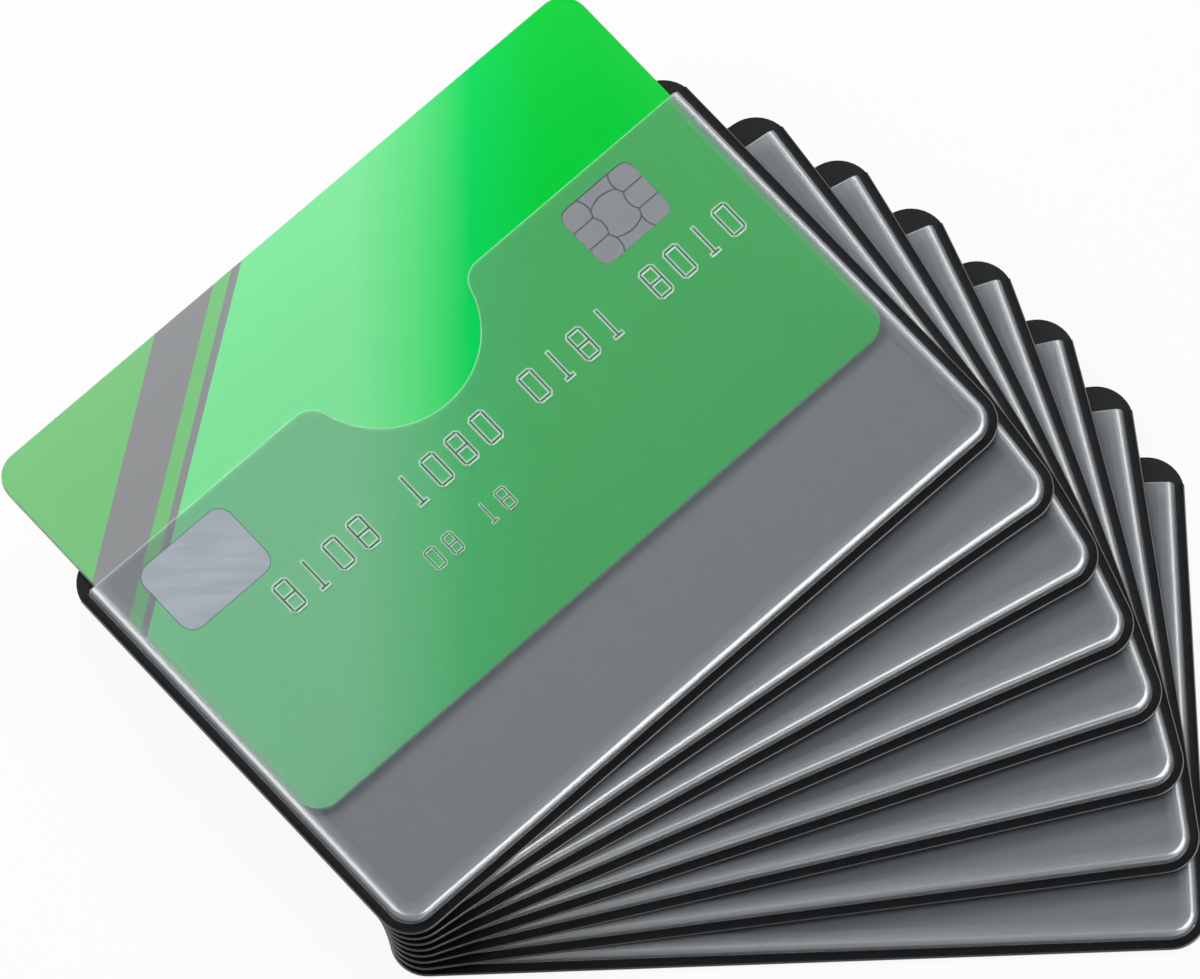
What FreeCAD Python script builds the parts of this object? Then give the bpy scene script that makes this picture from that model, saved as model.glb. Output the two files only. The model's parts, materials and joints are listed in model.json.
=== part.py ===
import FreeCAD, Part
import math
import os

# A set of eight flat card sleeves fanned out about one corner, with a bank card in the top one.
# Each sleeve is a black back panel, a shield foil sealed under a grey lining, and a satin front
# film with a raised pocket, welded to the panel along three sides and open along the fourth.
# Millimetres. X runs along the bottom sleeve's long side, Y along its short side, Z up.
# The origin is the middle of the bottom sleeve's underside.

# Bank card of the standard size
card_width = 85.60
card_height = 53.98
card_thickness = 0.76
card_corner_radius = 3.18

# How the card fits the pocket: slack on each side and at the end, a slip below it, and room above
# it for its raised numbers. The card in the top sleeve is pulled out from its home.
card_side_gap = 0.82
card_end_gap = 0.50
card_slip = 0.02
number_room = 0.26
card_pull = 15.6

# Back panel of one sleeve, with a lip above the edge of a card that is home
sleeve_corner_radius = 4.2
panel_thickness = 0.20
panel_lip = 1.34

# Shield foil and the lining that seals it to the panel and shows a little past the film's edge
foil_thickness = 0.04
foil_margin = 2.0
foil_corner_radius = 2.0
lining_cover = 0.10
lining_side_gap = 0.15
lining_mouth_rise = 0.35

# Front film: welded rim, raised pocket, and its straight edge below the panel's top edge
film_thickness = 0.18
rim_width = 1.2
pocket_edge_radius = 1.0
mouth_drop = 3.4

# Thumb notch in the middle of the film's edge
notch_radius = 11.2
notch_centre_rise = 1.0
notch_shoulder_radius = 2.8

# Chip: contact plate on a block of resin, set into the card's face. Its middle is placed from the
# card's right and top edges.
chip_width = 10.3
chip_height = 8.0
chip_corner_radius = 1.25
chip_thickness = 0.08
chip_from_right = 13.9
chip_from_top = 23.78
resin_width = 6.4
resin_height = 5.0
resin_corner_radius = 0.9
resin_thickness = 0.36

# Magnetic stripe in the card's back, and a plain foil patch in its face
stripe_width = 12.7
stripe_from_top = 4.0
stripe_thickness = 0.04
patch_width = 12.6
patch_height = 9.4
patch_corner_radius = 1.8
patch_from_left = 4.0
patch_from_top = 19.58
patch_thickness = 0.04

# Fan: the corner point that the sleeves turn about, each sleeve's turn on the one below in
# degrees from the bottom up, and the gap between two sleeves
fan_point_x = 1.3
fan_point_y = 2.7
fan_steps = [5.6, 5.7, 5.4, 5.4, 5.6, 5.95, 6.45]
stack_gap = 0.04

cut_overrun = 1.0
same_place = 1e-6

# Levels in one sleeve, up from its underside
lining_level = panel_thickness + foil_thickness + lining_cover
card_level = lining_level + card_slip
film_under_level = card_level + card_thickness + number_room
film_level = film_under_level + film_thickness
stack_pitch = film_level + stack_gap

# Size of one sleeve, built out from the card, and places in it from its left and bottom edges
card_left = rim_width + film_thickness + card_side_gap
card_home = rim_width + film_thickness + card_end_gap
card_bottom = card_home + card_pull
sleeve_width = card_width + 2 * card_left
sleeve_height = card_home + card_height + panel_lip
film_edge = sleeve_height - mouth_drop
pocket_corner_radius = sleeve_corner_radius - rim_width
window_inset = rim_width + pocket_edge_radius
window_corner_radius = sleeve_corner_radius - window_inset
lining_inset = rim_width + film_thickness + lining_side_gap
lining_corner_radius = sleeve_corner_radius - lining_inset
lining_edge = film_edge + lining_mouth_rise
foil_inset = lining_inset + foil_margin
foil_edge = lining_edge - foil_margin


def point(x, y, z=0):
    return FreeCAD.Vector(x, y, z)


def arc(centre, radius, start_degrees, end_degrees):
    """Edge of a circle about centre, from one angle to another, through the angle between them."""
    places = []
    for degrees in (start_degrees, (start_degrees + end_degrees) / 2, end_degrees):
        turn = math.radians(degrees)
        places.append(centre + point(radius * math.cos(turn), radius * math.sin(turn)))
    return Part.Arc(*places).toShape()


def line(start, end):
    return Part.LineSegment(start, end).toShape()


def raised(face, level, height):
    """Solid of a flat outline, lifted to a level and given a height."""
    return face.translated(point(0, 0, level)).extrude(point(0, 0, height))


def rounded_face(left, bottom, right, top, radius):
    """Rectangle with four round corners."""
    inner_left = left + radius
    inner_right = right - radius
    inner_bottom = bottom + radius
    inner_top = top - radius
    edges = [
        line(point(inner_left, bottom), point(inner_right, bottom)),
        arc(point(inner_right, inner_bottom), radius, -90, 0),
        line(point(right, inner_bottom), point(right, inner_top)),
        arc(point(inner_right, inner_top), radius, 0, 90),
        line(point(inner_right, top), point(inner_left, top)),
        arc(point(inner_left, inner_top), radius, 90, 180),
        line(point(left, inner_top), point(left, inner_bottom)),
        arc(point(inner_left, inner_bottom), radius, 180, 270),
    ]
    return Part.Face(Part.Wire(edges))


def pocket_face(inset, top, radius):
    """Outline of the pocket, an inset in from the sleeve's edges and cut square at the mouth."""
    right = sleeve_width - inset
    inner_left = inset + radius
    inner_right = right - radius
    inner_bottom = inset + radius
    edges = [
        line(point(inner_left, inset), point(inner_right, inset)),
        arc(point(inner_right, inner_bottom), radius, -90, 0),
        line(point(right, inner_bottom), point(right, top)),
        line(point(right, top), point(inset, top)),
        line(point(inset, top), point(inset, inner_bottom)),
        arc(point(inner_left, inner_bottom), radius, 180, 270),
    ]
    return Part.Face(Part.Wire(edges))


def pocket_block(inset, corner_radius, top_level, edge_radius):
    """Solid over the pocket's outline that runs past the mouth, round along its other top edges."""
    mouth = film_edge + cut_overrun
    block = raised(pocket_face(inset, mouth, corner_radius), panel_thickness, top_level - panel_thickness)
    round_edges = []
    for edge in block.Edges:
        box = edge.BoundBox
        at_top = box.ZMin > top_level - same_place
        at_mouth = box.YMin > mouth - same_place
        if at_top and not at_mouth:
            round_edges.append(edge)
    return block.makeFillet(edge_radius, round_edges)


def notch_cutter():
    """Thumb notch with round shoulders, from the film's edge down into the film."""
    centre = point(sleeve_width / 2, film_edge + notch_centre_rise)
    reach = notch_radius + notch_shoulder_radius
    drop = notch_centre_rise + notch_shoulder_radius
    side = math.sqrt(reach ** 2 - drop ** 2)
    tilt = math.degrees(math.asin(drop / reach))
    right_shoulder = centre + point(side, -drop)
    left_shoulder = centre + point(-side, -drop)
    right_start = right_shoulder + point(0, notch_shoulder_radius)
    left_start = left_shoulder + point(0, notch_shoulder_radius)
    above = point(0, notch_centre_rise + cut_overrun)
    edges = [
        arc(right_shoulder, notch_shoulder_radius, 90, 180 - tilt),
        arc(centre, notch_radius, -tilt, tilt - 180),
        arc(left_shoulder, notch_shoulder_radius, tilt, 90),
        line(left_start, left_start + above),
        line(left_start + above, right_start + above),
        line(right_start + above, right_start),
    ]
    return raised(Part.Face(Part.Wire(edges)), panel_thickness, film_level)


def panel_face():
    return rounded_face(0, 0, sleeve_width, sleeve_height, sleeve_corner_radius)


def make_back_panel():
    return raised(panel_face(), 0, panel_thickness)


def make_shield_foil():
    return raised(pocket_face(foil_inset, foil_edge, foil_corner_radius), panel_thickness, foil_thickness)


def make_pocket_lining():
    face = pocket_face(lining_inset, lining_edge, lining_corner_radius)
    sheet = raised(face, panel_thickness, foil_thickness + lining_cover)
    return sheet.cut(make_shield_foil())


def make_front_film():
    flange = raised(panel_face(), panel_thickness, film_thickness)
    outside = pocket_block(rim_width, pocket_corner_radius, film_level, pocket_edge_radius)
    inside = pocket_block(
        rim_width + film_thickness,
        pocket_corner_radius - film_thickness,
        film_under_level,
        pocket_edge_radius - film_thickness,
    )
    above_edge = Part.makeBox(
        sleeve_width + 2 * cut_overrun,
        mouth_drop + cut_overrun,
        film_level,
        point(-cut_overrun, film_edge, panel_thickness),
    )
    film = flange.fuse(outside).cut(inside).cut(above_edge).cut(notch_cutter())
    return parted_film(film.removeSplitter())


def parted_film(film):
    """Film held as its flat window and, along the folds, its two sides, its bottom and two corners."""
    outline = pocket_face(window_inset, film_edge + cut_overrun, window_corner_radius)
    window = raised(outline, panel_thickness, film_level)
    border = film.cut(window)
    parts = film.common(window).Solids
    columns = [0, sleeve_corner_radius, sleeve_width - sleeve_corner_radius, sleeve_width]
    rows = [0, sleeve_corner_radius, film_edge]
    for left, right in zip(columns, columns[1:]):
        for bottom, top in zip(rows, rows[1:]):
            cell = Part.makeBox(right - left, top - bottom, film_level, point(left, bottom, panel_thickness))
            parts += border.common(cell).Solids
    return Part.makeCompound(parts)


def make_chip_contacts():
    left = card_width - chip_from_right - chip_width / 2
    bottom = card_height - chip_from_top - chip_height / 2
    face = rounded_face(left, bottom, left + chip_width, bottom + chip_height, chip_corner_radius)
    return raised(face, card_thickness - chip_thickness, chip_thickness)


def make_chip_resin():
    left = card_width - chip_from_right - resin_width / 2
    bottom = card_height - chip_from_top - resin_height / 2
    face = rounded_face(left, bottom, left + resin_width, bottom + resin_height, resin_corner_radius)
    return raised(face, card_thickness - chip_thickness - resin_thickness, resin_thickness)


def make_magnetic_stripe():
    bottom = card_height - stripe_from_top - stripe_width
    return Part.makeBox(card_width, stripe_width, stripe_thickness, point(0, bottom))


def make_foil_patch():
    right = patch_from_left + patch_width
    top = card_height - patch_from_top
    face = rounded_face(patch_from_left, top - patch_height, right, top, patch_corner_radius)
    return raised(face, card_thickness - patch_thickness, patch_thickness)


def make_card_body(set_in):
    face = rounded_face(0, 0, card_width, card_height, card_corner_radius)
    body = raised(face, 0, card_thickness)
    for piece in set_in:
        body = body.cut(piece)
    return body


def placed(piece, place_in_sleeve, turn_degrees, level):
    """Piece moved to its place in a sleeve, turned about the fan's corner point and lifted."""
    corner = point(fan_point_x, fan_point_y)
    fan_centre = corner - point(sleeve_width / 2, sleeve_height / 2) + point(0, 0, level)
    moved = piece.translated(place_in_sleeve - corner)
    moved.rotate(point(0, 0), point(0, 0, 1), turn_degrees)
    return moved.translated(fan_centre)


def export(shape, name):
    if not shape.Solids or not shape.isValid():
        raise ValueError(name + " is not sound")
    Part.makeCompound(shape.Solids).exportStep("parts/" + name + ".step")


os.makedirs("parts", exist_ok=True)

sleeve_pieces = {
    "back_panel": make_back_panel(),
    "shield_foil": make_shield_foil(),
    "pocket_lining": make_pocket_lining(),
    "front_film": make_front_film(),
}
sleeve_turns = [sum(fan_steps[:below]) for below in range(len(fan_steps) + 1)]
for number, turn_degrees in enumerate(sleeve_turns, start=1):
    level = (number - 1) * stack_pitch
    for piece_name, piece in sleeve_pieces.items():
        export(placed(piece, point(0, 0), turn_degrees, level), f"sleeve_{number}_{piece_name}")

card_pieces = {
    "card_chip_contacts": make_chip_contacts(),
    "card_chip_resin": make_chip_resin(),
    "card_magnetic_stripe": make_magnetic_stripe(),
    "card_foil_patch": make_foil_patch(),
}
card_pieces["card_body"] = make_card_body(list(card_pieces.values()))
top_level = len(fan_steps) * stack_pitch
card_place = point(card_left, card_bottom, card_level)
for piece_name, piece in card_pieces.items():
    export(placed(piece, card_place, sleeve_turns[-1], top_level), piece_name)

print("sleeve", round(sleeve_width, 3), "x", round(sleeve_height, 3), "x", round(film_level, 3), "mm")
print("stack pitch", round(stack_pitch, 3), "mm")
print("fan", sleeve_turns[-1], "degrees, card bottom edge", round(card_bottom, 3), "mm up the sleeve")
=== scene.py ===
# %% [markdown]
# # A fan of shielded card sleeves
# Eight flat sleeves lie on each other and are fanned out about one corner, and a bank card stands
# partly out of the top one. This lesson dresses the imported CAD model: the frame gives every size and
# place, and each cell adds one piece or one finish. Pieces are drawn on a bench in millimetres, at
# the corner of a sleeve, because Blender's tools have tolerances that are coarse next to a film that
# is 0.18 mm thick. Then they are scaled to metres and set in their place in the fan.

# %% Load the frame
import json
import math

import bmesh
import bpy
from mathutils import Matrix, Vector

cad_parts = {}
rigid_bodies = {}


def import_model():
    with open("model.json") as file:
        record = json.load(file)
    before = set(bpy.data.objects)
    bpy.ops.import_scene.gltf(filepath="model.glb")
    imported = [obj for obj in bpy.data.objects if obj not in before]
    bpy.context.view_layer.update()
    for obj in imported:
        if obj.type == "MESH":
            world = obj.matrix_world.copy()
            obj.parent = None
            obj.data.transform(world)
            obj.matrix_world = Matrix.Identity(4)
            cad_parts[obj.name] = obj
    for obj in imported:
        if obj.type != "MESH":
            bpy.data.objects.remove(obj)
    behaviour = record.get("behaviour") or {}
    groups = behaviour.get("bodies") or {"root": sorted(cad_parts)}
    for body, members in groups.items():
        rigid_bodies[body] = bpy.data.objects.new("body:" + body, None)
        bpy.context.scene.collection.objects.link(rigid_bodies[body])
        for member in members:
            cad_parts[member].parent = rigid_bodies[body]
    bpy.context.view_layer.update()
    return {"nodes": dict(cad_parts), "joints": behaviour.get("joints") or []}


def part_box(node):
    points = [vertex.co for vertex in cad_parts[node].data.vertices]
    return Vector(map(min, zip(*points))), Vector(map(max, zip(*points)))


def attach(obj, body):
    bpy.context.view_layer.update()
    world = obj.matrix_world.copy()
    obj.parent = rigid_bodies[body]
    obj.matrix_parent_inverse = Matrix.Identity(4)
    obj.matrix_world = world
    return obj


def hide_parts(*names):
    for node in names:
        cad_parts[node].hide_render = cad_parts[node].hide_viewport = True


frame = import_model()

scene = bpy.context.scene
scene.view_settings.view_transform = "Standard"
nodes = frame["nodes"]
print("CAD nodes:", len(nodes))

# %% [markdown]
# ## The fan
# Each sleeve turns on the one below about a point near its corner. A hinge's low limit is where its
# sleeve lies square on the one below, so the limits add up to the turn of each sleeve in the photo.
# Reading them from the joints keeps the looks and the motion in step, with no angles typed twice.

# %% Read the fan from the joints
MM = 0.001
fan_hinges = [joint for joint in frame["joints"] if joint["type"] == "hinge"]
turns = [0.0]
for hinge in fan_hinges:
    turns.append(turns[-1] - hinge["range_deg"][0])
sleeves = range(1, len(turns) + 1)
top_sleeve = sleeves[-1]
panel_low, panel_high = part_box("sleeve_1_back_panel")
film_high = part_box("sleeve_1_front_film")[1]
fan_point = Vector(fan_hinges[0]["pos_m"])
fan_corner = fan_point - panel_low
levels = [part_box(f"sleeve_{number}_back_panel")[0].z for number in sleeves]
sleeve_width, sleeve_height, panel_top = (panel_high - panel_low) / MM
film_edge = (film_high.y - panel_low.y) / MM
film_top = (film_high.z - panel_low.z) / MM
print("turns:", [round(turn, 2) for turn in turns])
print("sleeve:", round(sleeve_width, 2), round(sleeve_height, 2), round(film_top, 2), "mm")

# %% [markdown]
# ## Working on the bench
# A few helpers stand in for the mouse. One selects a piece, one selects points, edges or faces by a
# test of their place or direction, and one adds a modifier and applies it. The frame leaves its CAD
# nodes selected, so everything is deselected before a new piece is added.

# %% Helpers for selecting and for modifiers
SAME = 1e-4


def alone(piece):
    """Selects one piece and makes it the active one."""
    bpy.ops.object.select_all(action="DESELECT")
    piece.select_set(True)
    bpy.context.view_layer.objects.active = piece


def edit(piece):
    alone(piece)
    bpy.ops.object.mode_set(mode="EDIT")


def done():
    bpy.ops.object.mode_set(mode="OBJECT")


def pick(kind, test):
    """In edit mode, selects just the points, edges or faces that pass a test, and counts them."""
    bpy.ops.mesh.select_mode(type=kind)
    bpy.ops.mesh.select_all(action="DESELECT")
    data = bpy.context.object.data
    mesh = bmesh.from_edit_mesh(data)
    items = {"VERT": mesh.verts, "EDGE": mesh.edges, "FACE": mesh.faces}[kind]
    found = [item for item in items if test(item)]
    for item in found:
        item.select_set(True)
    mesh.select_flush_mode()
    bmesh.update_edit_mesh(data)
    return len(found)


def at_level(edge, level):
    return all(abs(end.co.z - level) < SAME for end in edge.verts)


def upright(edge):
    return abs(edge.verts[0].co.z - edge.verts[1].co.z) > SAME


def apply_modifier(piece, kind, **settings):
    alone(piece)
    modifier = piece.modifiers.new(kind.lower(), kind)
    for name, value in settings.items():
        setattr(modifier, name, value)
    bpy.ops.object.modifier_apply(modifier=modifier.name)


def smooth(piece, degrees=35):
    """Shades a piece smooth, apart from edges that are sharper than this angle."""
    alone(piece)
    bpy.ops.object.shade_smooth_by_angle(angle=math.radians(degrees))


print("helpers ready")

# %% [markdown]
# A sheet starts as a plane and a plate as a cube, both added at their own place and size. The
# upright corners of a plate are bevelled to the corner radius, and then its top and bottom edges get
# a small bevel, because a perfectly sharp edge never catches a line of light.

# %% Sheets and plates
EDGE_STEPS = 3


def sheet(name, left, bottom, right, top, level):
    """A flat sheet between four edges, at a level."""
    bpy.ops.object.select_all(action="DESELECT")
    bpy.ops.mesh.primitive_plane_add(size=1, location=((left + right) / 2, (bottom + top) / 2, level))
    piece = bpy.context.object
    piece.name = piece.data.name = name
    piece.scale = (right - left, top - bottom, 1)
    bpy.ops.object.transform_apply(location=True, rotation=False, scale=True)
    return piece


def plate(name, low, high, corner_radius, edge_radius, corner_steps=10):
    """A plate between two corners, with round upright corners and small rounds along its edges."""
    low, high = Vector(low), Vector(high)
    bpy.ops.object.select_all(action="DESELECT")
    bpy.ops.mesh.primitive_cube_add(size=1, location=(low + high) / 2)
    piece = bpy.context.object
    piece.name = piece.data.name = name
    piece.scale = high - low
    bpy.ops.object.transform_apply(location=True, rotation=False, scale=True)
    edit(piece)
    if corner_radius:
        pick("EDGE", upright)
        bpy.ops.mesh.bevel(offset=corner_radius, segments=corner_steps)
    if edge_radius:
        pick("EDGE", lambda edge: len({round(face.normal.z) for face in edge.link_faces}) > 1)
        bpy.ops.mesh.bevel(offset=edge_radius, segments=EDGE_STEPS)
    done()
    return piece


def place(piece, number, at=(0, 0, 0)):
    """Moves a piece from the bench to its sleeve in the fan, and leaves its place in its mesh."""
    piece.matrix_world = (
        Matrix.Translation((fan_point.x, fan_point.y, levels[number - 1]))
        @ Matrix.Rotation(math.radians(turns[number - 1]), 4, "Z")
        @ Matrix.Translation((-fan_corner.x, -fan_corner.y, 0))
        @ Matrix.Scale(MM, 4)
        @ Matrix.Translation(at)
    )
    alone(piece)
    bpy.ops.object.transform_apply(location=True, rotation=True, scale=True)


def to_each_sleeve(bench_piece, name):
    """Copies a bench piece to all the sleeves, each copy with a mesh of its own."""
    copies = []
    for number in sleeves:
        piece = bench_piece.copy()
        piece.data = bench_piece.data.copy()
        piece.name = piece.data.name = f"sleeve_{number}_{name}"
        scene.collection.objects.link(piece)
        place(piece, number)
        copies.append(piece)
    bpy.data.objects.remove(bench_piece)
    return copies


print("sheet and plate ready")

# %% [markdown]
# ## Finishes
# Every finish starts from a Principled shader. Values that are the same all over go straight on the
# shader's sockets. What varies comes from a noise on Object coordinates: it shifts the colour a
# little, changes the roughness and lifts the surface, the way the grain of a vinyl or a film does.

# %% A finish, and grain for it
NOISE_LOW, NOISE_HIGH = 0.3, 0.7
GRAIN_STRENGTH = 0.6


def new_finish(name, values):
    """A material with these values on its Principled shader."""
    material = bpy.data.materials.new(name)
    material.use_nodes = True
    shader = material.node_tree.nodes["Principled BSDF"]
    for socket, value in values.items():
        shader.inputs[socket].default_value = value
    return material


def add_node(material, kind, values=None):
    made = material.node_tree.nodes.new(kind)
    for socket, value in (values or {}).items():
        made.inputs[socket].default_value = value
    return made


def link(material, source, target):
    material.node_tree.links.new(source, target)


def two_colours(material, amount, low, high):
    """Fades between two colours by an amount from 0 to 1, with the ends of noise clipped off."""
    ramp = add_node(material, "ShaderNodeValToRGB")
    ramp.color_ramp.elements[0].position = NOISE_LOW
    ramp.color_ramp.elements[1].position = NOISE_HIGH
    ramp.color_ramp.elements[0].color = (*low, 1)
    ramp.color_ramp.elements[1].color = (*high, 1)
    link(material, amount, ramp.inputs["Fac"])
    return ramp.outputs["Color"]


def add_grain(material, grain_mm, low, high, roughness, bump_mm, detail=3.0, stretch=None):
    """Noise of a grain size that shifts colour and roughness and lifts the surface."""
    shader = material.node_tree.nodes["Principled BSDF"]
    place_on = add_node(material, "ShaderNodeTexCoord")
    noise = add_node(material, "ShaderNodeTexNoise", {"Scale": 1 / (grain_mm * MM), "Detail": detail})
    source = place_on.outputs["Object"]
    if stretch:
        turned = add_node(material, "ShaderNodeMapping", {"Rotation": stretch[0], "Scale": stretch[1]})
        link(material, source, turned.inputs["Vector"])
        source = turned.outputs["Vector"]
    link(material, source, noise.inputs["Vector"])
    if low:
        link(material, two_colours(material, noise.outputs["Fac"], low, high), shader.inputs["Base Color"])
    spread = add_node(material, "ShaderNodeMapRange", {"To Min": roughness[0], "To Max": roughness[1]})
    link(material, noise.outputs["Fac"], spread.inputs["Value"])
    link(material, spread.outputs["Result"], shader.inputs["Roughness"])
    bump = add_node(material, "ShaderNodeBump", {"Strength": GRAIN_STRENGTH, "Distance": bump_mm * MM})
    link(material, noise.outputs["Fac"], bump.inputs["Height"])
    link(material, bump.outputs["Normal"], shader.inputs["Normal"])
    return material


def paint(piece, *finishes):
    """Gives a piece these finishes, in the order of its material indices."""
    piece.data.materials.clear()
    for finish in finishes:
        piece.data.materials.append(finish)


print("finishes can be made")

# %% [markdown]
# The back panel is black vinyl with a fine pebble, and where the die has cut it the edge is paler. The
# lining behind the pocket is the same vinyl in grey, and the shield foil, which the lining covers, is
# bright metal. All three are thin and flat.

# %% Vinyl and foil
DULL_SHINE = 0.05
black_vinyl = add_grain(
    new_finish("black_vinyl", {"IOR": 1.5, "Specular IOR Level": DULL_SHINE}),
    grain_mm=0.22, low=(0.005, 0.0056, 0.0065), high=(0.009, 0.010, 0.0112),
    roughness=(0.34, 0.5), bump_mm=0.012,
)
grey_vinyl = add_grain(
    new_finish("grey_vinyl", {"IOR": 1.5, "Specular IOR Level": DULL_SHINE}),
    grain_mm=0.30, low=(0.264, 0.260, 0.252), high=(0.299, 0.295, 0.286),
    roughness=(0.45, 0.6), bump_mm=0.008,
)
rim_cut = add_grain(
    new_finish("rim_cut", {"IOR": 1.5, "Specular IOR Level": 0.35}),
    grain_mm=0.3, low=(0.010, 0.011, 0.012), high=(0.016, 0.017, 0.019),
    roughness=(0.3, 0.4), bump_mm=0.004,
)
bright_foil = add_grain(
    new_finish("bright_foil", {"Metallic": 1.0}),
    grain_mm=0.8, low=(0.74, 0.75, 0.77), high=(0.82, 0.83, 0.84),
    roughness=(0.2, 0.34), bump_mm=0.01,
)
for number in sleeves:
    paint(nodes[f"sleeve_{number}_pocket_lining"], grey_vinyl)
    paint(nodes[f"sleeve_{number}_shield_foil"], bright_foil)
print("vinyl and foil on", 2 * len(sleeves), "CAD nodes")

# %% [markdown]
# ## Back panel
# The panel is die cut from vinyl sheet, so its edges are a little round. The CAD solid has sharp
# edges. A plate with a small bevel takes its place, so that the cut edge shows as a fine line.

# %% Back panels
CORNER_RADIUS = 4.2
PANEL_EDGE = 0.06
STEEP = 0.5
panel = plate("panel", (0, 0, 0), (sleeve_width, sleeve_height, panel_top), CORNER_RADIUS, PANEL_EDGE)
smooth(panel)
paint(panel, black_vinyl, rim_cut)
for face in panel.data.polygons:
    face.material_index = 1 if abs(face.normal.z) < STEEP else 0
for number, piece in zip(sleeves, to_each_sleeve(panel, "panel")):
    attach(piece, f"sleeve_{number}")
    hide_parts(f"sleeve_{number}_back_panel")
print("back panels:", len(sleeves))

# %% [markdown]
# ## Front film
# The film is one sheet, heated and drawn up to a shallow pocket, then welded to the panel along
# three sides. It is made the same way here: a sheet with two round corners is inset by the width of
# the welded rim, its middle is raised, and the bend is bevelled. Two more insets with a small rise
# give the crown that a drawn film has next to its bend. Last, the sheet is cut off square at the
# pocket's mouth and given its thickness.

# %% Draw the film's sheet
FILM_THICKNESS = 0.18
RIM_WIDTH = 1.2
CROWN_INSETS = [(1.3, 0.09), (0.7, 0.03), (0.06, 0.0)]
BEND_RADIUS = 0.78
FOOT_RADIUS = 0.2
CUT_SPARE = 12.0
FILM_CORNER_STEPS, BEND_STEPS, FOOT_STEPS = 12, 7, 3
rim_level = panel_top + FILM_THICKNESS
crown_rise = sum(rise for width, rise in CROWN_INSETS)
bend_level = film_top - crown_rise

film = sheet("film", 0, 0, sleeve_width, film_edge + CUT_SPARE, rim_level)
edit(film)
pick("VERT", lambda point: point.co.y < SAME)
bpy.ops.mesh.bevel(offset=CORNER_RADIUS, segments=FILM_CORNER_STEPS, affect="VERTICES")
pick("FACE", lambda face: True)
bpy.ops.mesh.inset(thickness=RIM_WIDTH)
bpy.ops.mesh.extrude_region_move(TRANSFORM_OT_translate={"value": (0, 0, bend_level - rim_level)})
for inset_width, rise in CROWN_INSETS:
    bpy.ops.mesh.inset(thickness=inset_width, depth=rise)
pick("EDGE", lambda edge: at_level(edge, bend_level))
bpy.ops.mesh.bevel(offset=BEND_RADIUS, segments=BEND_STEPS)


def at_foot(edge):
    steep = any(abs(face.normal.z) < STEEP for face in edge.link_faces)
    return at_level(edge, rim_level) and steep


pick("EDGE", at_foot)
bpy.ops.mesh.bevel(offset=FOOT_RADIUS, segments=FOOT_STEPS)
bpy.ops.mesh.select_all(action="SELECT")
bpy.ops.mesh.bisect(plane_co=(0, film_edge, 0), plane_no=(0, 1, 0), clear_outer=True, threshold=SAME)
done()
apply_modifier(film, "SOLIDIFY", thickness=FILM_THICKNESS, offset=-1)
lowest = min(point.co.z for point in film.data.vertices)
print("film sheet:", len(film.data.polygons), "faces, lowest point at", round(lowest, 3))

# %% [markdown]
# The thumb notch is punched out of the film's edge. A cylinder is a good punch, and a Boolean
# modifier does the cut. The shoulders beside it are round as well. A block less a cylinder is the
# shape that is missing at a round corner, so it is the tool that takes the sharp corner off.

# %% Punch the thumb notch
PUNCH_STEPS, PUNCH_LENGTH = 128, 2
NOTCH_RADIUS = 11.2
NOTCH_RISE = 1.0
SHOULDER_RADIUS = 2.8
TOOL_SPARE = 0.8
NEARLY_SAME = 20 * SAME
notch_middle = Vector((sleeve_width / 2, film_edge + NOTCH_RISE, film_top))
reach = NOTCH_RADIUS + SHOULDER_RADIUS
shoulder_out = math.sqrt(reach**2 - (NOTCH_RISE + SHOULDER_RADIUS) ** 2)


def cylinder(radius, at):
    bpy.ops.object.select_all(action="DESELECT")
    bpy.ops.mesh.primitive_cylinder_add(
        vertices=PUNCH_STEPS, radius=radius, depth=PUNCH_LENGTH, location=at,
    )
    return bpy.context.object


def cut(piece, tool):
    """Cuts a tool out of a piece, and puts the tool away."""
    apply_modifier(piece, "BOOLEAN", operation="DIFFERENCE", object=tool, solver="EXACT")
    bpy.data.objects.remove(tool)


cut(film, cylinder(NOTCH_RADIUS, notch_middle))
for side in (-1, 1):
    round_middle = notch_middle + Vector((side * shoulder_out, -NOTCH_RISE - SHOULDER_RADIUS, 0))
    meeting = notch_middle.lerp(round_middle, NOTCH_RADIUS / reach)
    inner = meeting.x - side * TOOL_SPARE
    left, right = sorted((inner, round_middle.x))
    high = (right, film_edge + TOOL_SPARE, film_top + TOOL_SPARE)
    tool = plate("tool", (left, meeting.y, 0), high, 0, 0)
    cut(tool, cylinder(SHOULDER_RADIUS, round_middle))
    cut(film, tool)
edit(film)
bpy.ops.mesh.select_all(action="SELECT")
bpy.ops.mesh.remove_doubles(threshold=NEARLY_SAME)
done()
print("film:", len(film.data.polygons), "faces")
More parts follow.
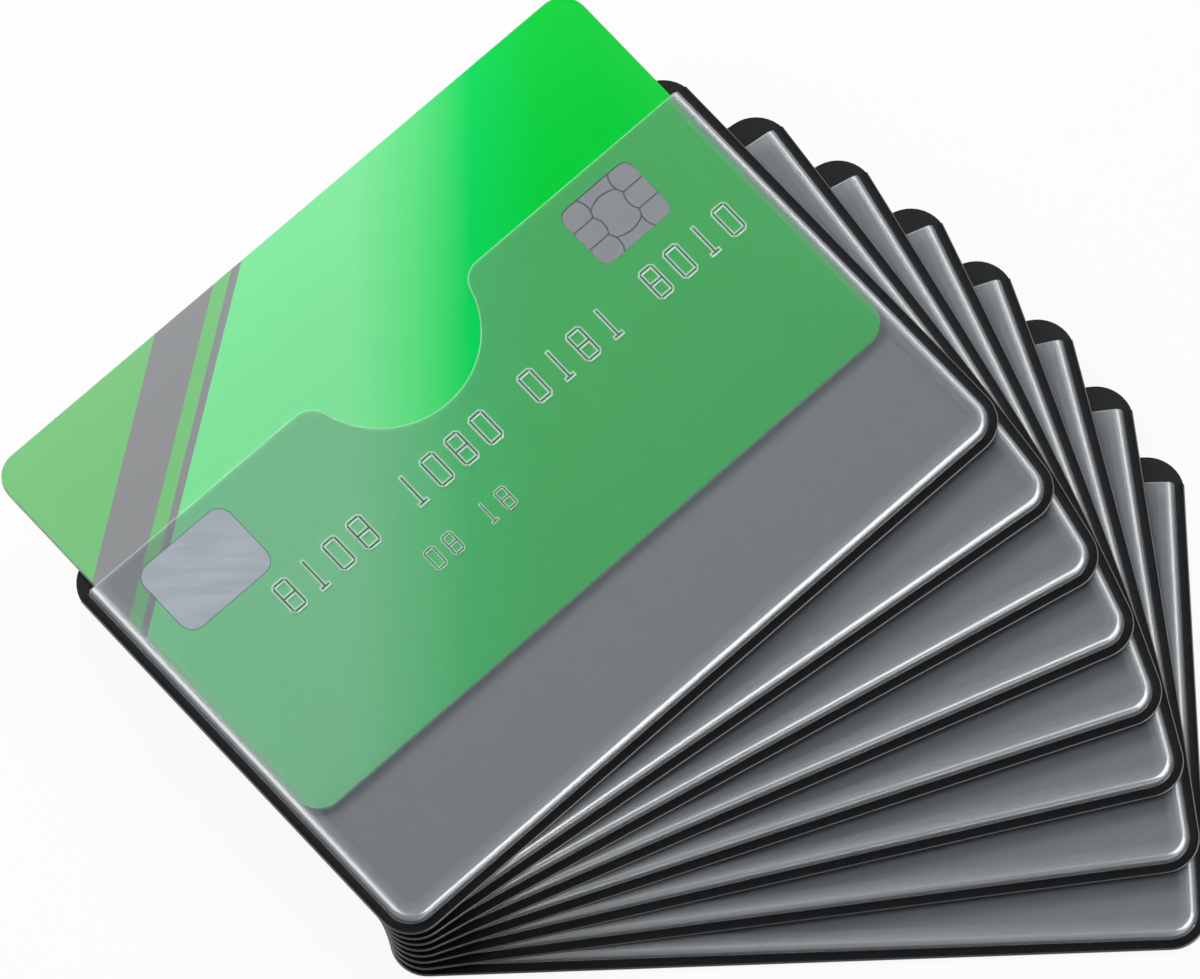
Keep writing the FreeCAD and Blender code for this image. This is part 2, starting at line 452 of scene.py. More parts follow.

# %% [markdown]
# The satin film is see-through: its shader has a plain Alpha, a soft grey veil and a satin shine. It
# turns cloudy where it was stretched over the bend, most of all along the bend's top and less and
# less towards the flat. That is a value on each point, named stretch, which the finish of the bend
# reads. The cloudy band is also a painted highlight: the film is lighter and denser where the bend
# catches the light, and on its lit steep side. The bend is glossy, so what it shows depends on the
# lamps: it has a clear shine and, as a coat, a soft one round it. The cut edges are given a pale
# colour, a painted highlight for the light that leaves a film at its edge, and along the weld the
# film has melted into the black vinyl.

# %% Film finishes
VEIL_ALPHA = 0.17
VEIL_COLOUR = (0.243, 0.292, 0.350)
# The cloudy colour and cover are lighter and denser than the veil: cloudy film and a painted highlight.
CLOUDY_HIGHLIGHT_ALPHA = 0.75
CLOUDY_HIGHLIGHT_COLOUR = (0.345, 0.365, 0.372)
VEIL_SPREAD = 0.08
veil_low = [(1 - VEIL_SPREAD) * part for part in VEIL_COLOUR]
veil_high = [(1 + VEIL_SPREAD) * part for part in VEIL_COLOUR]
satin_film = add_grain(
    new_finish("satin_film", {"Alpha": VEIL_ALPHA, "IOR": 1.52}),
    grain_mm=0.35, low=veil_low, high=veil_high,
    roughness=(0.2, 0.3), bump_mm=0.002,
)
cloudy_bend_and_highlight = add_grain(
    new_finish("cloudy_bend_and_highlight", {
        "IOR": 1.52, "Specular IOR Level": 1.0, "Coat Weight": 0.45, "Coat Roughness": 0.45,
    }),
    grain_mm=0.5, low=None, high=None,
    roughness=(0.15, 0.19), bump_mm=0.0002,
)
shader = cloudy_bend_and_highlight.node_tree.nodes["Principled BSDF"]
stretch = add_node(cloudy_bend_and_highlight, "ShaderNodeAttribute")
stretch.attribute_name = "stretch"
cloud_and_highlight_fade = add_node(cloudy_bend_and_highlight, "ShaderNodeValToRGB")
cloud_and_highlight_fade.color_ramp.elements[0].color = (*VEIL_COLOUR, 1)
cloud_and_highlight_fade.color_ramp.elements[1].color = (*CLOUDY_HIGHLIGHT_COLOUR, 1)
cloud_and_highlight_cover = add_node(cloudy_bend_and_highlight, "ShaderNodeMapRange", {"To Min": VEIL_ALPHA, "To Max": CLOUDY_HIGHLIGHT_ALPHA})
link(cloudy_bend_and_highlight, stretch.outputs["Fac"], cloud_and_highlight_fade.inputs["Fac"])
link(cloudy_bend_and_highlight, cloud_and_highlight_fade.outputs["Color"], shader.inputs["Base Color"])
link(cloudy_bend_and_highlight, stretch.outputs["Fac"], cloud_and_highlight_cover.inputs["Value"])
link(cloudy_bend_and_highlight, cloud_and_highlight_cover.outputs["Result"], shader.inputs["Alpha"])
# The cut edges get a pale colour: a painted highlight for the light that leaves the film at its edge.
film_cut_highlight = add_grain(
    new_finish("film_cut_highlight", {"Alpha": 0.28, "IOR": 1.52}),
    grain_mm=0.3, low=(0.74, 0.90, 0.84), high=(0.82, 0.98, 0.92),
    roughness=(0.3, 0.4), bump_mm=0.002,
)
welded_rim = add_grain(
    new_finish("welded_rim", {"IOR": 1.5, "Specular IOR Level": DULL_SHINE}),
    grain_mm=0.5, low=(0.005, 0.0056, 0.0067), high=(0.008, 0.009, 0.0105),
    roughness=(0.24, 0.36), bump_mm=0.004,
)
paint(film, satin_film, cloudy_bend_and_highlight, film_cut_highlight, welded_rim, rim_cut)
SATIN, BEND_AND_HIGHLIGHT, CUT_HIGHLIGHT, WELD, RIM_CUT = range(5)
print("film finishes:", len(film.data.materials))

# %% [markdown]
# Each face gets its finish by how far in from the sleeve's edge it lies. Then the sharp top edges of
# the cut get a small bevel, whose faces take the finish of the cut: seen from above, that is the fine
# bright line along the mouth and the notch, a painted highlight in the cut's pale colour, and the fine
# grey line round the weld. The film is smooth only up to a small angle, so that this bevel keeps its
# own light and doesn't bend that of the flat.

# %% Give the film its finishes
CUT_BEVEL, CUT_STEPS = 0.13, 2
CUT_ANGLE = math.radians(60)
FACES_UP, NEARLY_UPRIGHT = 0.05, 0.2
FILM_SMOOTH = 20
# Stretch by depth in from the edge; the values also place a painted highlight, highest on the bend's top
# and raised on its lit steep side.
STRETCH_AND_HIGHLIGHT = [
    (1.10, 0.24), (1.20, 0.52), (1.28, 0.60), (1.37, 0.66), (1.49, 0.82), (1.64, 0.98), (1.80, 1.0),
    (1.98, 0.56), (2.50, 0.16), (3.20, 0.0),
]
bend_end = STRETCH_AND_HIGHLIGHT[-1][0]


def depth_in(x, y):
    """How far a place lies in from the sleeve's edge, the mouth not counted."""
    side = min(x, sleeve_width - x)
    if side < CORNER_RADIUS and y < CORNER_RADIUS:
        return CORNER_RADIUS - math.hypot(CORNER_RADIUS - side, CORNER_RADIUS - y)
    return min(side, y)


def film_finish(face):
    inset = depth_in(face.center.x, face.center.y)
    near_notch = (face.center.xy - notch_middle.xy).length < reach + SHOULDER_RADIUS
    if abs(face.normal.z) < NEARLY_UPRIGHT:
        if inset < SAME:
            return RIM_CUT
        if (face.center.y > film_edge - SAME or near_notch) and inset > RIM_WIDTH:
            return CUT_HIGHLIGHT
    if inset < RIM_WIDTH - FOOT_RADIUS / 2:
        return WELD
    return BEND_AND_HIGHLIGHT if inset < bend_end else SATIN


def stretch_and_highlight_at(inset):
    """How far the film is stretched at a distance in from the edge, from 0 to 1, with a painted highlight
    along the bend.
    """
    for (near, low), (far, high) in zip(STRETCH_AND_HIGHLIGHT, STRETCH_AND_HIGHLIGHT[1:]):
        if inset < far:
            return low + (high - low) * max(0, inset - near) / (far - near)
    return 0.0


def cut_top(at_rim):
    """A test for the sharp top edges of the cut: those of the welded rim, or those of the mouth."""
    def test(edge):
        if len(edge.link_faces) != 2 or edge.calc_face_angle() < CUT_ANGLE:
            return False
        depths = [depth_in(end.co.x, end.co.y) for end in edge.verts]
        in_place = max(depths) < NEARLY_SAME if at_rim else min(depths) > RIM_WIDTH
        return max(face.normal.z for face in edge.link_faces) > FACES_UP and in_place
    return test


for face in film.data.polygons:
    face.material_index = film_finish(face)
edit(film)
for at_rim, finish in ((True, RIM_CUT), (False, CUT_HIGHLIGHT)):
    print("cut edges:", pick("EDGE", cut_top(at_rim)))
    bpy.ops.mesh.bevel(offset=CUT_BEVEL, segments=CUT_STEPS, material=finish)
done()
smooth(film, FILM_SMOOTH)
# Each point's stretch value carries the cloudy film and its painted highlight.
values = film.data.attributes.new("stretch", "FLOAT", "POINT").data
for point, value in zip(film.data.vertices, values):
    value.value = stretch_and_highlight_at(depth_in(point.co.x, point.co.y))
for number, piece in zip(sleeves, to_each_sleeve(film, "film")):
    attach(piece, f"sleeve_{number}")
    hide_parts(f"sleeve_{number}_front_film")
print("films:", len(sleeves))

# %% [markdown]
# ## The card
# A bank card is a laminate of printed sheets round a pale core. Its body is a plate with small round
# edges, and the chip, the foil patch and the magnetic stripe are let into it, so a Boolean cuts a
# recess for each, a hair wider than the piece that it holds. Above the chip the gap is wider, and its
# floor, painted dark, shows as a fine line: a painted shade along the chip's upper edge.

# %% Card body
CARD_SIZE = Vector((85.60, 53.98, 0.76))
CARD_RADIUS = 3.18
CARD_PLACE = (2.2, 17.48, 0.36)
CHIP_MIDDLE, CHIP_SIZE, CHIP_RADIUS, CHIP_THICKNESS = (71.7, 30.2), (10.3, 8.0), 1.25, 0.08
RESIN_SIZE, RESIN_DEPTH, RESIN_RADIUS = (6.4, 5.0), 0.44, 0.9
PATCH_LOW, PATCH_SIZE, PATCH_RADIUS, PATCH_THICKNESS = (4.0, 25.0), (12.6, 9.4), 1.8, 0.04
STRIPE_LOW, STRIPE_HIGH, STRIPE_THICKNESS = 37.28, 49.98, 0.04
STRIPE_RADIUS = 0.02
CARD_EDGE = 0.07
HAIR, RESIN_HAIR, PATCH_HAIR = 0.02, 0.01, 0.07
# The wider gap above the chip shows its dark floor: a painted shade along the chip's upper edge.
CHIP_GAP = 0.12
ABOVE = 1.0
card = plate("card_plate", (0, 0, 0), CARD_SIZE, CARD_RADIUS, CARD_EDGE)


def recess(low, high, radius, hair=HAIR):
    """Cuts a recess into the card for a let-in piece."""
    low = Vector(low) - Vector((hair, hair, 0))
    high = Vector(high) + Vector((hair, hair, 0))
    cut(card, plate("cutter", low, high, radius + hair, 0))


def block(middle, size, depth):
    """Corners of a block set into the card's face to a depth, running on above it."""
    half = Vector(size) / 2
    low, high = Vector(middle) - half, Vector(middle) + half
    return (*low, CARD_SIZE.z - depth), (*high, CARD_SIZE.z + ABOVE)


patch_middle = Vector(PATCH_LOW) + Vector(PATCH_SIZE) / 2
chip_low, chip_high = block(CHIP_MIDDLE, CHIP_SIZE, CHIP_THICKNESS)
recess(chip_low, Vector(chip_high) + Vector((0, CHIP_GAP, 0)), CHIP_RADIUS)
recess(*block(CHIP_MIDDLE, RESIN_SIZE, RESIN_DEPTH), RESIN_RADIUS, RESIN_HAIR)
recess(*block(patch_middle, PATCH_SIZE, PATCH_THICKNESS), PATCH_RADIUS, PATCH_HAIR)
stripe_cutter = ((-ABOVE, STRIPE_LOW, -ABOVE), (CARD_SIZE.x + ABOVE, STRIPE_HIGH, STRIPE_THICKNESS))
recess(*stripe_cutter, STRIPE_RADIUS, 0.0)
smooth(card)
print("card body:", len(card.data.polygons), "faces")

# %% [markdown]
# The print follows the card, not the room, so the card gets a UV map that starts at its upper left
# corner: one UV unit is the card's width. A slanted sum of both directions runs through a colour ramp.
# One ramp, with stops far apart, is the fade from pale to bright green. The other changes at once from
# stop to stop, which gives the flat stripes across that corner, and covers the fade there.

# %% Map the card
layer = card.data.uv_layers.new(name="card_map")
for corner in card.data.loops:
    spot = card.data.vertices[corner.vertex_index].co
    layer.data[corner.index].uv = (spot.x / CARD_SIZE.x, (CARD_SIZE.y - spot.y) / CARD_SIZE.x)
print("card map:", len(layer.data), "corners")

# %% Card print
FADE_SLANT, STRIPE_SLANT = 0.9, 1.43
FADE_STOPS = [
    (0.628, (0.245, 0.865, 0.368)), (0.748, (0.106, 0.811, 0.230)),
    (0.834, (0.002, 0.723, 0.115)), (0.955, (0.0005, 0.670, 0.049)),
]
LEAF, SLATE = (0.228, 0.613, 0.244), (0.315, 0.325, 0.335)
STRIPE_STOPS = [(0.0, LEAF), (0.285, SLATE), (0.385, LEAF), (0.415, SLATE)]
STRIPE_END = 0.435
card_print = new_finish("card_print", {"Roughness": 0.28, "IOR": 1.5, "Specular IOR Level": 0.04})
place_on = add_node(card_print, "ShaderNodeUVMap")
place_on.uv_map = "card_map"
split = add_node(card_print, "ShaderNodeSeparateXYZ")
link(card_print, place_on.outputs["UV"], split.inputs["Vector"])


def slanted(slant):
    """The way along the card, plus a share of the way down it."""
    sum_up = add_node(card_print, "ShaderNodeMath", {1: slant})
    sum_up.operation = "MULTIPLY_ADD"
    link(card_print, split.outputs["Y"], sum_up.inputs[0])
    link(card_print, split.outputs["X"], sum_up.inputs[2])
    return sum_up.outputs["Value"]


def colour_ramp(amount, print_stops, interpolation):
    made = add_node(card_print, "ShaderNodeValToRGB")
    ramp = made.color_ramp
    ramp.interpolation = interpolation
    for index, (position, colour) in enumerate(print_stops):
        stop = ramp.elements[index] if index < 2 else ramp.elements.new(position)
        stop.position = position
        stop.color = (*colour, 1)
    link(card_print, amount, made.inputs["Fac"])
    return made.outputs["Color"]


print("print stops:", len(FADE_STOPS), "and", len(STRIPE_STOPS))

# %% Join the fade and the stripes
along_stripes = slanted(STRIPE_SLANT)
in_stripes = add_node(card_print, "ShaderNodeMath", {1: STRIPE_END})
in_stripes.operation = "LESS_THAN"
link(card_print, along_stripes, in_stripes.inputs[0])
both = add_node(card_print, "ShaderNodeMix")
both.data_type = "RGBA"
link(card_print, in_stripes.outputs["Value"], both.inputs[0])
link(card_print, colour_ramp(slanted(FADE_SLANT), FADE_STOPS, "LINEAR"), both.inputs[6])
link(card_print, colour_ramp(along_stripes, STRIPE_STOPS, "CONSTANT"), both.inputs[7])
link(card_print, both.outputs[2], card_print.node_tree.nodes["Principled BSDF"].inputs["Base Color"])
print("nodes in the print:", len(card_print.node_tree.nodes))

# %% [markdown]
# Only the face is printed in colour. The edge shows the pale core, the back is plain and pale too, and
# the floors of the recesses are painted dark, a painted shade in the gaps round the let-in pieces.

# %% Finish the card's edge and back
pale_core = add_grain(
    new_finish("pale_core", {"IOR": 1.5}),
    grain_mm=0.4, low=(0.28, 0.45, 0.32), high=(0.33, 0.50, 0.37),
    roughness=(0.4, 0.5), bump_mm=0.002,
)
pale_back = add_grain(
    new_finish("pale_back", {"IOR": 1.5}),
    grain_mm=0.6, low=(0.50, 0.60, 0.52), high=(0.55, 0.65, 0.57),
    roughness=(0.3, 0.4), bump_mm=0.002,
)
dark_groove_and_shade = add_grain(
    new_finish("dark_groove_and_shade", {"IOR": 1.5, "Specular IOR Level": DULL_SHINE}),
    grain_mm=0.2, low=(0.03, 0.03, 0.032), high=(0.05, 0.05, 0.052),
    roughness=(0.5, 0.6), bump_mm=0.002,
)
paint(card, card_print, pale_core, pale_back, dark_groove_and_shade)
PRINT, CORE, BACK, PAINTED_SHADE = range(4)
# Recess floors are painted dark: a painted shade where they show in the gaps.
for face in card.data.polygons:
    if face.normal.z > STEEP:
        face.material_index = PRINT if face.center.z > CARD_SIZE.z - PATCH_THICKNESS / 2 else PAINTED_SHADE
    elif face.normal.z > -STEEP:
        face.material_index = CORE
    else:
        face.material_index = BACK
card.name = card.data.name = "card_laminate"
place(card, top_sleeve, CARD_PLACE)
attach(card, "card")
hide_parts("card_body")
print("card in place")

# %% [markdown]
# ## Chip
# The contact plate is one thin sheet of metal, parted by fine grooves: three contacts at each end, each
# with a round inner side, and between them a middle field with two round ends. Straight grooves are
# thin blocks, and the round ones are rings cut off at all sides. Each is cut out of the plate with a
# Boolean, so the grooves are real.

# %% Chip plate and groove tools
GROOVE_DEPTH = 0.03
GROOVE_WIDTH = 0.17
CHIP_EDGE = 0.015
chip_middle = Vector((*CHIP_MIDDLE, CARD_SIZE.z))
chip_half = Vector((CHIP_SIZE[0] / 2, CHIP_SIZE[1] / 2, 0))
chip_floor = chip_middle - chip_half - Vector((0, 0, CHIP_THICKNESS))
chip = plate("chip", chip_floor, chip_middle + chip_half, CHIP_RADIUS, CHIP_EDGE)


def straight_groove(start, end):
    """Cuts a groove between two places, counted from the middle of the chip."""
    start, end = Vector(start), Vector(end)
    run = end - start
    bpy.ops.object.select_all(action="DESELECT")
    spot = chip_middle.xy + (start + end) / 2
    heading = math.atan2(run.y, run.x)
    bpy.ops.mesh.primitive_cube_add(size=1, location=(*spot, CARD_SIZE.z), rotation=(0, 0, heading))
    tool = bpy.context.object
    tool.scale = (run.length, GROOVE_WIDTH, 2 * GROOVE_DEPTH)
    bpy.ops.object.transform_apply(location=True, rotation=True, scale=True)
    cut(chip, tool)


def round_groove(middle, radius, low, high):
    """Cuts the part of a ring that lies between two corners, all counted from the middle of the chip."""
    at = chip_middle + Vector((*middle, 0))
    ring = cylinder(radius + GROOVE_WIDTH / 2, at)
    ring.scale.z = GROOVE_DEPTH
    bpy.ops.object.transform_apply(location=True, rotation=False, scale=True)
    cut(ring, cylinder(radius - GROOVE_WIDTH / 2, at))
    edit(ring)
    for corner, way in ((low, -1), (high, 1)):
        for axis in ((way, 0, 0), (0, way, 0)):
            bpy.ops.mesh.select_all(action="SELECT")
            border = chip_middle + Vector((*corner, 0))
            bpy.ops.mesh.bisect(
                plane_co=border, plane_no=axis, clear_outer=True, use_fill=True, threshold=SAME,
            )
    done()
    cut(chip, ring)


print("chip plate ready")

# %% Cut the grooves
ROW = 1.3
SIDE_RADIUS, SIDE_OUT = 2.2, 4.06
CAP_RADIUS, CAP_RISE, CAP_HALF = 3.6, 2.65, 1.84
PAST_END_SHARE = 1.1
FACE_SHARE = 0.4
groove_half = GROOVE_WIDTH / 2
past_edge = chip_half.y + groove_half
for side in (-1, 1):
    inner, outer = sorted((0, side * SIDE_OUT))
    for low, high in ((-past_edge, groove_half - ROW), (-ROW, ROW), (ROW - groove_half, past_edge)):
        middle = (side * SIDE_OUT, (low + high) / 2)
        round_groove(middle, SIDE_RADIUS, (inner, low), (outer, high))
    for row in (-ROW, ROW):
        start = side * (SIDE_OUT - math.sqrt(SIDE_RADIUS**2 - ROW**2))
        straight_groove((start, row), (side * chip_half.x * PAST_END_SHARE, row))
for way in (-1, 1):
    low, high = sorted((0, way * past_edge))
    round_groove((0, way * (CAP_RISE - CAP_RADIUS)), CAP_RADIUS, (-CAP_HALF, low), (CAP_HALF, high))
contact_metal = add_grain(
    new_finish("contact_metal", {"Metallic": 0.85}),
    grain_mm=0.25, low=(0.130, 0.133, 0.136), high=(0.160, 0.163, 0.166),
    roughness=(0.34, 0.46), bump_mm=0.003,
)
paint(chip, contact_metal, dark_groove_and_shade)
for face in chip.data.polygons:
    face.material_index = 0 if face.center.z > CARD_SIZE.z - GROOVE_DEPTH * FACE_SHARE else 1
chip.name = chip.data.name = "chip_plate"
place(chip, top_sleeve, CARD_PLACE)
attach(chip, "card")
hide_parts("card_chip_contacts")
print("chip:", len(chip.data.polygons), "faces")

# %% [markdown]
# ## Raised numbers
# The numbers of such a card are pressed up from behind, and their tops are rubbed with silver foil.
# Each digit starts as a sheet that bisect cuts into bars, the open fields are deleted, and Solidify
# raises the strokes. The die leaves sloping flanks, a crest along both sides of a stroke and a trough
# between them, so the tops are inset three times, the innermost part is sunk and the outer points are
# lowered. The crest is painted bright, partly the silver foil and partly a painted highlight, and the
# trough is painted dark, a painted shade. Only digits that look the same in a mirror are used.

# %% Digits
DIGIT_RISE = 0.16
DIGIT_SINK = 0.04
FOOT_SHARE = 0.62
CORNER_SHARE = 0.75
UPRIGHT = 0.1
FLANK_SHARE = 0.16
FLANK_DROP = 0.08
CREST_SHARE = 0.11
TROUGH_DEPTH = 0.05
SLOPE_SHARE = 0.5
# The crest colour is partly foil and partly a painted highlight; the trough colour is a painted shade.
silver_crest_highlight = add_grain(
    new_finish("silver_crest_highlight", {"Metallic": 0.15, "Specular IOR Level": DULL_SHINE}),
    grain_mm=0.3, low=(0.66, 0.95, 0.70), high=(0.74, 1.0, 0.78),
    roughness=(0.3, 0.4), bump_mm=0.003,
)
painted_trough_shade = add_grain(
    new_finish("painted_trough_shade", {"IOR": 1.5, "Specular IOR Level": DULL_SHINE}),
    grain_mm=0.3, low=(0.02, 0.13, 0.04), high=(0.035, 0.18, 0.06),
    roughness=(0.4, 0.5), bump_mm=0.003,
)


def digit(kind, left, bottom, width, height, stroke):
    """One digit made of bars: a ring, two stacked rings, or an upright on a foot."""
    if kind == "1":
        left, width = left + width * (1 - FOOT_SHARE) / 2, width * FOOT_SHARE
    piece = sheet("digit", left, bottom, left + width, bottom + height, CARD_SIZE.z - DIGIT_SINK)
    right, top, centre = left + width, bottom + height, left + width / 2
    columns = (centre - stroke / 2, centre + stroke / 2) if kind == "1" else (left + stroke, right - stroke)
    waist = bottom + height / 2
    rows = [bottom + stroke, waist - stroke / 2, waist + stroke / 2, top - stroke]
    edit(piece)
    if kind != "1":
        pick("VERT", lambda point: True)
        bpy.ops.mesh.bevel(offset=stroke * CORNER_SHARE, segments=1, affect="VERTICES")
    for x in columns:
        bpy.ops.mesh.select_all(action="SELECT")
        bpy.ops.mesh.bisect(plane_co=(x, 0, 0), plane_no=(1, 0, 0), threshold=SAME)
    for y in rows:
        bpy.ops.mesh.select_all(action="SELECT")
        bpy.ops.mesh.bisect(plane_co=(0, y, 0), plane_no=(0, 1, 0), threshold=SAME)

    def is_open(face):
        spot = face.calc_center_median()
        inside = columns[0] < spot.x < columns[1]
        above_foot = rows[0] < spot.y
        if kind == "1":
            return above_foot and not inside
        at_waist = kind == "8" and rows[1] < spot.y < rows[2]
        return inside and above_foot and spot.y < rows[3] and not at_waist

    pick("FACE", is_open)
    bpy.ops.mesh.delete(type="FACE")
    done()
    apply_modifier(piece, "SOLIDIFY", thickness=DIGIT_RISE + DIGIT_SINK, offset=1)
    # Crests get the painted highlight, troughs the painted shade.
    paint(piece, silver_crest_highlight, painted_trough_shade)
    edit(piece)
    pick("FACE", lambda face: face.normal.z > STEEP)
    bpy.ops.mesh.inset(thickness=stroke * FLANK_SHARE)
    bpy.ops.mesh.inset(thickness=stroke * CREST_SHARE)
    bpy.ops.mesh.inset(thickness=stroke * CREST_SHARE * SLOPE_SHARE, depth=-TROUGH_DEPTH)
    piece.active_material_index = 1
    bpy.ops.object.material_slot_assign()

    def on_rim(point):
        beside_wall = any(abs(face.normal.z) < UPRIGHT for face in point.link_faces)
        return point.co.z > CARD_SIZE.z and beside_wall

    pick("VERT", on_rim)
    bpy.ops.transform.translate(value=(0, 0, -FLANK_DROP))
    done()
    return piece


print("digit finishes:", silver_crest_highlight.name, painted_trough_shade.name)

# %% Rows of digits
LONG_ROW, SHORT_ROW = "8108 1080 0181 8010", "08 18"
digits = []


def row_of_digits(row, left, bottom, pitch, width, height, stroke):
    for index, kind in enumerate(row):
        if kind != " ":
            digits.append(digit(kind, left + index * pitch, bottom, width, height, stroke))


row_of_digits(LONG_ROW, left=13.9, bottom=19.05, pitch=3.63, width=2.35, height=4.3, stroke=0.6)
row_of_digits(SHORT_ROW, left=29.0, bottom=12.2, pitch=2.6, width=1.65, height=2.9, stroke=0.42)
bpy.ops.object.select_all(action="DESELECT")
for piece in digits:
    piece.select_set(True)
numbers = digits[0]
bpy.context.view_layer.objects.active = numbers
bpy.ops.object.join()
numbers.name = numbers.data.name = "card_numbers"
smooth(numbers)
place(numbers, top_sleeve, CARD_PLACE)
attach(numbers, "card")
print("digits:", len(digits))

# %% [markdown]
# ## Patch, stripe and resin
# The foil patch in the card's face is plain, with a fine brushed grain. The magnetic stripe is in the
# back, and the resin holds the chip from below. They are flat, flush solids whose CAD shape is right,
# so they keep it and only get a finish.

# %% Finish the let-in pieces
card_turn = math.radians(turns[-1])
patch_foil = add_grain(
    new_finish("patch_foil", {"Metallic": 0.3, "Specular IOR Level": DULL_SHINE}),
    grain_mm=0.6, low=(0.43, 0.46, 0.50), high=(0.49, 0.52, 0.56),
    roughness=(0.25, 0.4), bump_mm=0.002,
    stretch=((0, 0, -card_turn), (0.12, 1.0, 1.0)),
)
stripe_brown = add_grain(
    new_finish("stripe_brown", {"IOR": 1.5}),
    grain_mm=0.3, low=(0.020, 0.015, 0.012), high=(0.030, 0.023, 0.018),
    roughness=(0.3, 0.42), bump_mm=0.003,
)
resin_black = add_grain(
    new_finish("resin_black", {"IOR": 1.5}),
    grain_mm=0.4, low=(0.012, 0.012, 0.012), high=(0.022, 0.022, 0.022),
    roughness=(0.3, 0.5), bump_mm=0.006,
)
paint(nodes["card_foil_patch"], patch_foil)
paint(nodes["card_magnetic_stripe"], stripe_brown)
paint(nodes["card_chip_resin"], resin_black)
print("let-in pieces finished")

# %% [markdown]
# ## Floor and light
# The photo has a white ground with hardly a shadow. The floor is a pale matte plane. To the camera,
# and in reflections, most of its colour is plain white, so the ground stays white without more light
# on the object, and the rest keeps a soft shadow.

# %% Floor
FLOOR_SIZE = 6
FLOOR_DROP = 0.00004
SHADOW_SHARE = 0.08


def seen_directly(tree):
    """A value that is 1 for rays that show the ground: from the camera, in a shine or through film."""
    path = tree.nodes.new("ShaderNodeLightPath")
    total = path.outputs["Is Camera Ray"]
    for name in ("Is Glossy Ray", "Is Transmission Ray"):
        either = tree.nodes.new("ShaderNodeMath")
        either.operation = "MAXIMUM"
        tree.links.new(total, either.inputs[0])
        tree.links.new(path.outputs[name], either.inputs[1])
        total = either.outputs["Value"]
    return total


bpy.ops.object.select_all(action="DESELECT")
bpy.ops.mesh.primitive_plane_add(size=FLOOR_SIZE, location=(0, 0, -FLOOR_DROP))
floor = bpy.context.object
floor.name = "floor"
pale_floor = new_finish("pale_floor", {"Base Color": (0.8, 0.8, 0.8, 1), "Roughness": 0.9})
tree = pale_floor.node_tree
glow = tree.nodes.new("ShaderNodeEmission")
blend = tree.nodes.new("ShaderNodeMixShader")
share = tree.nodes.new("ShaderNodeMath")
share.operation = "MULTIPLY"
share.inputs[1].default_value = 1 - SHADOW_SHARE
tree.links.new(seen_directly(tree), share.inputs[0])
tree.links.new(share.outputs["Value"], blend.inputs["Fac"])
tree.links.new(tree.nodes["Principled BSDF"].outputs["BSDF"], blend.inputs[1])
tree.links.new(glow.outputs["Emission"], blend.inputs[2])
tree.links.new(blend.outputs["Shader"], tree.nodes["Material Output"].inputs["Surface"])
paint(floor, pale_floor)
print("floor:", FLOOR_SIZE, "m wide")

# %% [markdown]
# The world gives a little light from all round, which fills the shadows. Like the floor, it is plain
# white to the camera and in reflections.

# %% World
WORLD_LIGHT = 0.07
world = bpy.data.worlds.new("studio")
scene.world = world
world.use_nodes = True
tree = world.node_tree
ambient = tree.nodes["Background"]
ambient.inputs["Color"].default_value = (1, 1, 1, 1)
ambient.inputs["Strength"].default_value = WORLD_LIGHT
white = tree.nodes.new("ShaderNodeBackground")
white.inputs["Color"].default_value = (1, 1, 1, 1)
blend = tree.nodes.new("ShaderNodeMixShader")
tree.links.new(seen_directly(tree), blend.inputs["Fac"])
tree.links.new(ambient.outputs["Background"], blend.inputs[1])
tree.links.new(white.outputs["Background"], blend.inputs[2])
tree.links.new(blend.outputs["Shader"], tree.nodes["World Output"].inputs["Surface"])
print("world light:", WORLD_LIGHT)

# %% [markdown]
# The main light comes from the back and the left, so each sleeve shades the one below it along its
# front edge. Three more lamps make a shine and nothing else: they are switched off for diffuse rays.
# A flat film mirrors none of them, but its round edges do. The front one stands so far to the right
# that only the sleeves turned furthest mirror it along their front edge, and the others just at
# their corner, as in the photo.

# %% Lamps
MIDDLE = Vector((-0.02, 0.027, 0.0))


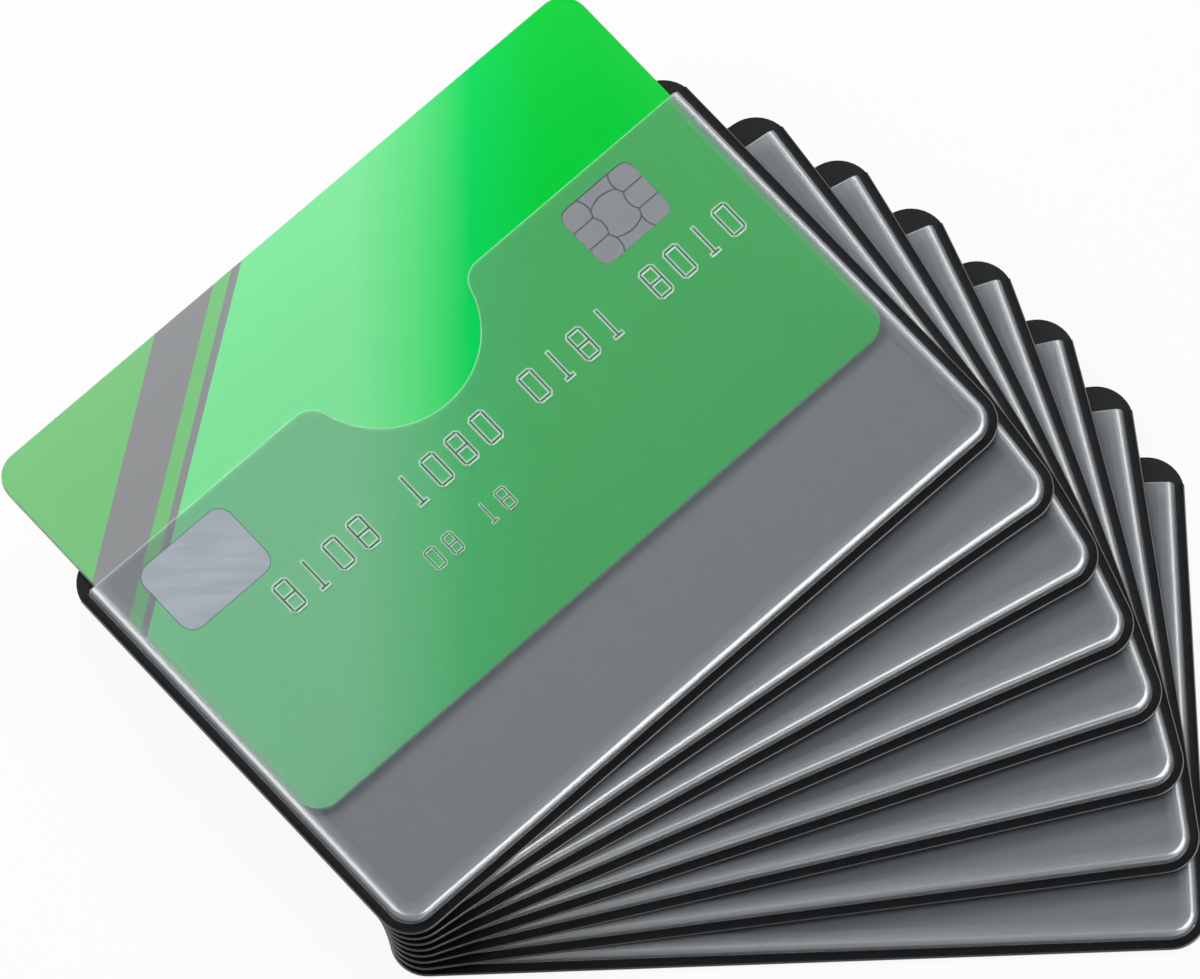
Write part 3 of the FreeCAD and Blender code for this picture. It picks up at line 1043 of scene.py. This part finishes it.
def soft_lamp(name, azimuth, elevation, distance, size, watts, shine_only=False):
    """A rectangular lamp aimed at the set from an azimuth round it and an elevation, in degrees."""
    turn, rise = math.radians(azimuth), math.radians(elevation)
    way = Vector((math.sin(turn) * math.cos(rise), -math.cos(turn) * math.cos(rise), math.sin(rise)))
    lamp = bpy.data.lights.new(name, "AREA")
    lamp.shape = "RECTANGLE"
    lamp.size, lamp.size_y = size
    lamp.energy = watts
    holder = bpy.data.objects.new(name, lamp)
    scene.collection.objects.link(holder)
    holder.location = MIDDLE + way * distance
    holder.rotation_euler = way.to_track_quat("Z", "Y").to_euler()
    holder.visible_diffuse = not shine_only


soft_lamp("front_lamp", azimuth=45, elevation=5, distance=0.8, size=(0.9, 0.10), watts=2.7)
soft_lamp("left_lamp", azimuth=238, elevation=32, distance=0.9, size=(0.9, 0.4), watts=6.4)
soft_lamp("back_lamp", azimuth=190, elevation=42, distance=1.1, size=(1.0, 0.6), watts=7.9)
soft_lamp("front_shine", azimuth=70, elevation=42, distance=0.8, size=(0.62, 0.70), watts=13.5,
          shine_only=True)
soft_lamp("right_shine", azimuth=130, elevation=44, distance=0.8, size=(0.63, 0.52), watts=5.5,
          shine_only=True)
soft_lamp("left_shine", azimuth=278, elevation=55, distance=0.8, size=(0.50, 0.70), watts=7.0,
          shine_only=True)
print("lamps:", len(bpy.data.lights))

# %% [markdown]
# ## Camera
# The camera was fitted to the edges of the eight sleeves in the photo: it looks down at 71 degrees,
# from far away through a long lens, so the fan keeps nearly parallel lines.

# %% Camera
CAMERA_ELEVATION = 71.28
CAMERA_AZIMUTH = -2.13
CAMERA_DISTANCE = 1.357
CAMERA_LENS, SENSOR_WIDTH = 365.97, 36
CLIP_START = 0.01
CAMERA_TARGET = Vector((-0.01997, 0.02712, 0.0))
turn, rise = math.radians(CAMERA_AZIMUTH), math.radians(CAMERA_ELEVATION)
back = Vector((math.sin(turn) * math.cos(rise), -math.cos(turn) * math.cos(rise), math.sin(rise)))
lens = bpy.data.cameras.new("camera")
lens.sensor_width = SENSOR_WIDTH
lens.lens = CAMERA_LENS
lens.clip_start = CLIP_START
camera = bpy.data.objects.new("camera", lens)
scene.collection.objects.link(camera)
camera.location = CAMERA_TARGET + back * CAMERA_DISTANCE
camera.rotation_euler = back.to_track_quat("Z", "Y").to_euler()
scene.camera = camera
print("camera at", [round(value, 4) for value in camera.location])
